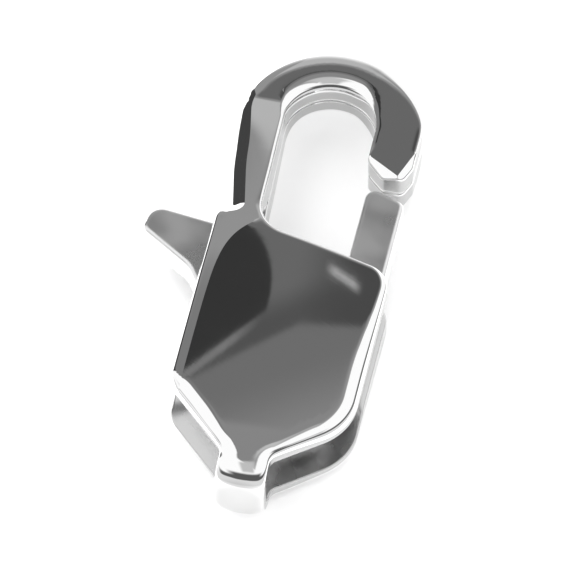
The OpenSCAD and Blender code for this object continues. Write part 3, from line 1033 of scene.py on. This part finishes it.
def make_floor(looks):
    """A pale floor that the back plate lies on."""
    half, z = FLOOR_HALF, CAD_BOX[0].z
    mesh = bpy.data.meshes.new("floor")
    corners = [(-half, -half, z), (half, -half, z), (half, half, z), (-half, half, z)]
    mesh.from_pydata(corners, [], [(0, 1, 2, 3)])
    mesh.materials.append(paper("paper", looks))
    add_object("floor", mesh)


def make_light():
    """One soft lamp high on the left, which the steel doesn't mirror."""
    lamp = bpy.data.lights.new("soft_lamp", "AREA")
    lamp.shape, lamp.size, lamp.energy = "DISK", 0.12, 0.06
    obj = add_object("soft_lamp", lamp)
    middle = CLASP_MIDDLE * MM
    right, away, up = LAMP_PLACE
    obj.location = (AWAY * away + TO_RIGHT * right + Vector((0, 0, up))) * MM + middle
    obj.rotation_euler = (middle - obj.location).to_track_quat("-Z", "Y").to_euler()
    obj.visible_glossy = False
    obj.visible_camera = False


def make_camera():
    """The camera of the photograph, on a square of it round the clasp."""
    u, v, side = PHOTO_SQUARE
    target = TO_RIGHT * (u - PHOTO_ORIGIN[0]) - UPWARD * (v - PHOTO_ORIGIN[1])
    camera = bpy.data.cameras.new("camera")
    camera.sensor_width = 36
    camera.lens = 36 * CAMERA_FAR / (side / PHOTO_SCALE)
    camera.clip_start, camera.clip_end = 0.01, 5
    obj = add_object("camera", camera)
    obj.location = (target / PHOTO_SCALE - LOOK * CAMERA_FAR) * MM
    obj.rotation_euler = LOOK.to_track_quat("-Z", "Y").to_euler()
    bpy.context.scene.camera = obj


# The add-on

def dress(obj, body, node_name):
    """Hangs a piece on its body in place of a CAD node."""
    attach(obj, body)
    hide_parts(node_name)


class CLASP_OT_body(Operator):
    """Press the strip into the clasp's body"""
    bl_idname = "clasp.body"
    bl_label = "Body"

    def execute(self, context):
        looks = context.scene.clasp_looks
        steel = polished_steel("polished_steel", looks, looks.steel, looks.polish)
        body = make_body(in_mm(context.scene.clasp_sizes), steel)
        dress(body, "frame", "body")
        return {"FINISHED"}


class CLASP_OT_lever(Operator):
    """Make the lever with its gate and thumb piece"""
    bl_idname = "clasp.lever"
    bl_label = "Lever"

    def execute(self, context):
        looks = context.scene.clasp_looks
        steel = polished_steel("satin_steel", looks, looks.lever_steel, looks.satin)
        lever = make_lever(in_mm(context.scene.clasp_sizes), steel)
        dress(lever, "lever", "lever")
        return {"FINISHED"}


class CLASP_OT_pin(Operator):
    """Give the hidden pin its turned steel"""
    bl_idname = "clasp.pin"
    bl_label = "Pin"

    def execute(self, context):
        pin = frame["nodes"]["pivot_pin"]
        pin.data.materials.clear()
        pin.data.materials.append(turned_steel("turned_steel", context.scene.clasp_looks))
        return {"FINISHED"}


class CLASP_OT_stage(Operator):
    """Set up the room, the floor, the light and the camera"""
    bl_idname = "clasp.stage"
    bl_label = "Stage"

    def execute(self, context):
        looks = context.scene.clasp_looks
        make_room(looks)
        make_floor(looks)
        make_light()
        make_camera()
        context.scene.view_settings.view_transform = "Standard"
        return {"FINISHED"}


class CLASP_PT_panel(Panel):
    """Sizes and looks of the clasp, and a button for each of its pieces"""
    bl_label = "Lobster Clasp"
    bl_idname = "CLASP_PT_panel"
    bl_space_type = "VIEW_3D"
    bl_region_type = "UI"
    bl_category = "Clasp"

    def draw(self, context):
        scene = context.scene
        for title, group in (("Sizes", scene.clasp_sizes), ("Looks", scene.clasp_looks)):
            box = self.layout.box()
            box.label(text=title)
            for key in group.__annotations__:
                box.prop(group, key)
        for operator in OPERATORS:
            self.layout.operator(operator.bl_idname)


OPERATORS = (CLASP_OT_body, CLASP_OT_lever, CLASP_OT_pin, CLASP_OT_stage)
CLASSES = (ClaspSizes, ClaspLooks, *OPERATORS, CLASP_PT_panel)


def register():
    for cls in CLASSES:
        bpy.utils.register_class(cls)
    bpy.types.Scene.clasp_sizes = PointerProperty(type=ClaspSizes)
    bpy.types.Scene.clasp_looks = PointerProperty(type=ClaspLooks)


def unregister():
    del bpy.types.Scene.clasp_looks
    del bpy.types.Scene.clasp_sizes
    for cls in reversed(CLASSES):
        bpy.utils.unregister_class(cls)


def main():
    register()
    bpy.ops.clasp.body()
    bpy.ops.clasp.lever()
    bpy.ops.clasp.pin()
    bpy.ops.clasp.stage()


if __name__ == "__main__":
    main()
